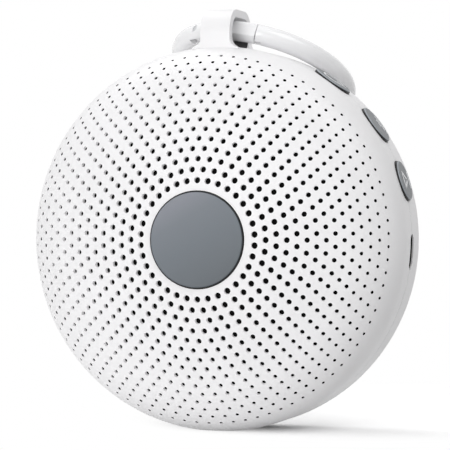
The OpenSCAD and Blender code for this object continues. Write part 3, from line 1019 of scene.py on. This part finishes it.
@dataclass(frozen=True)
class Studio:
    """Plain pale floor under a white surround, with soft lamps.

    Lengths are in metres. The floor's bounce changes from its left value to its right
    one across flag_x, and its shadow fades out between the two lengths of fade.
    """

    fill: float = 0.45
    floor_size: float = 6.0
    floor_white: float = 1.18
    bounce: Pair = (0.92, 0.4)
    flag_x: Pair = (-0.02, 0.12)
    fade_centre: Colour = (0.03, 0.075, 0.0)
    fade_squash: Colour = (1.0, 0.75, 0.0)
    fade: Pair = (0.05, 0.075)
    lamps: tuple[Softbox, ...] = (
        Softbox("top_lamp", (0.0, -0.2, 1.7), size=0.9, watts=2.7),
        Softbox("front_lamp", (-0.3, -1.6, 0.2), size=0.9, watts=13.7),
        Softbox("side_lamp", (0.9, -0.5, 1.3), size=0.9, watts=6.8),
        Softbox("rear_lamp", (-0.7, 0.5, 1.4), size=0.7, watts=5.0),
    )

    def light_world(self) -> None:
        """Sets a white surround that lights the object more softly than it looks."""
        world = bpy.data.worlds.new("white_surround")
        bpy.context.scene.world = world
        sheet = NodeSheet(world)
        sheet.tree.nodes.clear()
        soft, white = (
            sheet.add("Background", {"Color": WHITE, "Strength": strength}).outputs["Background"]
            for strength in (self.fill, 1.0)
        )
        surround = sheet.mix_shaders(sheet.seen_directly(), soft, white)
        sheet.add("OutputWorld", {"Surface": surround})

    def floor_finish(self) -> bpy.types.Material:
        """Builds the floor's material, which shows white and keeps the object's shadow.

        Returns:
            The new material.
        """
        sheet = NodeSheet.blank("studio_floor")
        sheet.tree.nodes.remove(sheet.shader)
        place = sheet.place()
        across = sheet.add("SeparateXYZ", {"Vector": place}).outputs["X"]
        bounce = sheet.ranged(across, self.flag_x, self.bounce, smooth=True)
        centred = sheet.vector("SUBTRACT", place, self.fade_centre)
        reach = sheet.vector("LENGTH", sheet.vector("MULTIPLY", centred, self.fade_squash))
        lit, near = (
            sheet.add("BsdfDiffuse", {"Color": colour}).outputs["BSDF"]
            for colour in (bounce, (self.floor_white,) * 3)
        )
        far = sheet.add("Emission", {"Color": WHITE}).outputs["Emission"]
        shown = sheet.mix_shaders(sheet.ranged(reach, self.fade, smooth=True), near, far)
        surface = sheet.mix_shaders(sheet.seen_directly(), lit, shown)
        sheet.feed(sheet.tree.nodes["Material Output"].inputs["Surface"], surface)
        return sheet.owner

    def lay_floor(self) -> None:
        """Lays the floor."""
        form = bmesh.new()
        bmesh.ops.create_grid(form, x_segments=1, y_segments=1, size=self.floor_size)
        mesh = finished_mesh(form, "studio_floor", self.floor_finish())
        floor = in_scene("studio_floor", mesh)

    def build(self) -> None:
        """Adds the floor, the surround and the lamps."""
        self.light_world()
        self.lay_floor()
        for lamp in self.lamps:
            lamp.build()
        bpy.context.scene.view_settings.view_transform = "Standard"
        LOG.info("studio is lit by %d lamps", len(self.lamps))


# ---------------------------------------------------------------- the object


@dataclass(frozen=True)
class Housing:
    """Both shells, the centre disc, the lug, the feet and the case screws."""

    lug: Softening = Softening(width=0.6, segments=4)

    def build(self, finishes: Finishes) -> None:
        """Dresses the outside of the body.

        Args:
            finishes: The materials.
        """
        dress("front_shell", finishes.front)
        dress("rear_shell", finishes.rear)
        dress("centre_disc", finishes.disc)
        dress("dust_mesh", finishes.cloth)
        dress("rear_feet", finishes.foot)
        dress("case_screws", finishes.steel)
        self.lug.apply("hanging_lug", finishes.lug, Body.HOUSING, "shell_white")


@dataclass(frozen=True)
class CarryRing:
    """The ring with its neck and hinge pin."""

    neck: Softening = Softening(width=0.05, segments=2)

    def build(self, finishes: Finishes) -> None:
        """Dresses the ring.

        Args:
            finishes: The materials.
        """
        self.neck.apply("ring_neck", finishes.ring, Body.NECK, "ring_white")
        dress("carry_ring", finishes.ring)
        dress("hinge_pin", finishes.steel)


class Legend(Enum):
    """The sign printed on a button."""

    POWER = "power"
    WAVES = "waves"
    PLAY = "play"


@dataclass(frozen=True)
class Button:
    """One round side button with its printed sign.

    Sizes are in millimetres and angles in degrees. A sign is drawn small and enlarged.
    """

    name: str
    body: Body
    legend: Legend
    face_r: float = 50.7
    seam_y: float = 5.0
    stroke: float = 0.42
    relief: float = 0.08
    enlarge: float = 1.55
    facet: float = 8.0

    def place(self) -> Matrix:
        """Builds the matrix from the face's own X, Y and outward Z to the frame.

        Returns:
            The matrix.
        """
        turn = math.radians(KEY_ANGLES[self.body])
        outward = Vector((math.cos(turn), 0, math.sin(turn)))
        along = Vector((0, 1, 0))
        across = along.cross(outward)
        spot = Vector((0, self.seam_y, AXIS_Z)) + outward * self.face_r
        basis = Matrix((along, across, outward)).transposed().to_4x4()
        return Matrix.Diagonal((MM, MM, MM, 1)) @ Matrix.Translation(spot) @ basis

    def arc(self, form: bmesh.types.BMesh, radius: float, start: float, sweep: float) -> None:
        """Adds a raised arc.

        Args:
            form: The mesh to add to.
            radius: Radius of the arc's middle.
            start: Angle of its first end.
            sweep: Its angle.
        """
        inner, outer = radius - self.stroke / 2, radius + self.stroke / 2
        corners = ((inner, 0), (outer, 0), (outer, self.relief), (inner, self.relief))
        verts = [form.verts.new((x, 0, z)) for x, z in corners]
        face = form.faces.new(verts)
        turn = Matrix.Rotation(math.radians(start), 4, "Z")
        bmesh.ops.transform(form, matrix=turn, verts=verts)
        bmesh.ops.spin(
            form,
            geom=[*verts, *face.edges, face],
            cent=(0, 0, 0),
            axis=(0, 0, 1),
            angle=math.radians(sweep),
            steps=int(sweep / self.facet),
            use_duplicate=False,
        )

    def bar(self, form: bmesh.types.BMesh, middle: Pair, length: float, turn: float) -> None:
        """Adds a raised bar.

        Args:
            form: The mesh to add to.
            middle: The bar's middle on the face.
            length: Its length.
            turn: Its angle from the face's X axis.
        """
        made = bmesh.ops.create_cube(form, size=1)
        size = Matrix.Diagonal((length, self.stroke, self.relief, 1))
        spin = Matrix.Rotation(math.radians(turn), 4, "Z")
        lift = Matrix.Translation((*middle, self.relief / 2))
        bmesh.ops.transform(form, matrix=lift @ spin @ size, verts=made["verts"])

    def draw(self, form: bmesh.types.BMesh) -> None:
        """Draws the button's sign.

        Args:
            form: The mesh to draw into.
        """
        if self.legend is Legend.POWER:
            self.arc(form, radius=1.9, start=120, sweep=300)
            self.bar(form, middle=(0, 1.55), length=1.9, turn=90)
        elif self.legend is Legend.WAVES:
            for radius in (0.9, 1.9, 2.9):
                self.arc(form, radius, start=-48, sweep=96)
        else:
            side = Vector((-0.78, 0, 0))
            for turn in (0, 120, 240):
                spot = Matrix.Rotation(math.radians(turn), 3, "Z") @ side
                self.bar(form, middle=(spot.x - 0.5, spot.y), length=2.9, turn=turn + 90)
            self.bar(form, middle=(2.2, 0), length=2.9, turn=90)

    def build(self, finishes: Finishes) -> None:
        """Dresses the button and prints its sign.

        Args:
            finishes: The materials.
        """
        dress(f"{self.name}_button", finishes.keys[self.body])
        dress(f"{self.name}_plunger", finishes.black)
        form = bmesh.new()
        self.draw(form)
        bmesh.ops.recalc_face_normals(form, faces=form.faces)
        size = Matrix.Diagonal((self.enlarge, self.enlarge, 1, 1))
        bmesh.ops.transform(form, matrix=self.place() @ size, verts=form.verts)
        sign = f"{self.name}_sign"
        finish_piece(form, sign, finishes.legend, self.body, smooth=False)


@dataclass(frozen=True)
class Inside:
    """Everything inside the shells."""

    def build(self, finishes: Finishes) -> None:
        """Dresses the board, the battery and the speaker.

        Args:
            finishes: The materials.
        """
        plan = {
            finishes.steel: ("switch_housings", "magnet_plate", "speaker_yoke", "speaker_screws"),
            finishes.port: ("socket_shell",),
            finishes.black: ("socket_tongue", "controller_chip", "amplifier_chip", "memory_chip"),
            finishes.board: ("main_board",),
            finishes.can: ("capacitors",),
            finishes.ivory: ("battery_connector", "speaker_connector"),
            finishes.foil: ("battery",),
            finishes.foam: ("battery_foam", "speaker_gasket"),
            finishes.wire: ("battery_leads", "speaker_leads"),
            finishes.painted_steel: ("speaker_basket",),
            finishes.rubber: ("speaker_surround",),
            finishes.paper: ("speaker_cone",),
            finishes.spider: ("speaker_spider",),
            finishes.copper: ("voice_coil",),
            finishes.ferrite: ("speaker_magnet",),
            finishes.phenolic: ("speaker_terminals",),
        }
        for material, nodes in plan.items():
            for node in nodes:
                dress(node, material)


def main() -> None:
    """Builds the studio and dresses the sound machine."""
    logging.basicConfig(level=logging.INFO, format="%(name)s: %(message)s")
    Viewpoint().build()
    Studio().build()
    finishes = Finishes.make()
    Housing().build(finishes)
    CarryRing().build(finishes)
    Inside().build(finishes)
    for button in (
        Button("power", Body.POWER, Legend.POWER),
        Button("volume", Body.VOLUME, Legend.WAVES),
        Button("sound", Body.SOUND, Legend.PLAY),
    ):
        button.build(finishes)


if __name__ == "__main__":
    main()
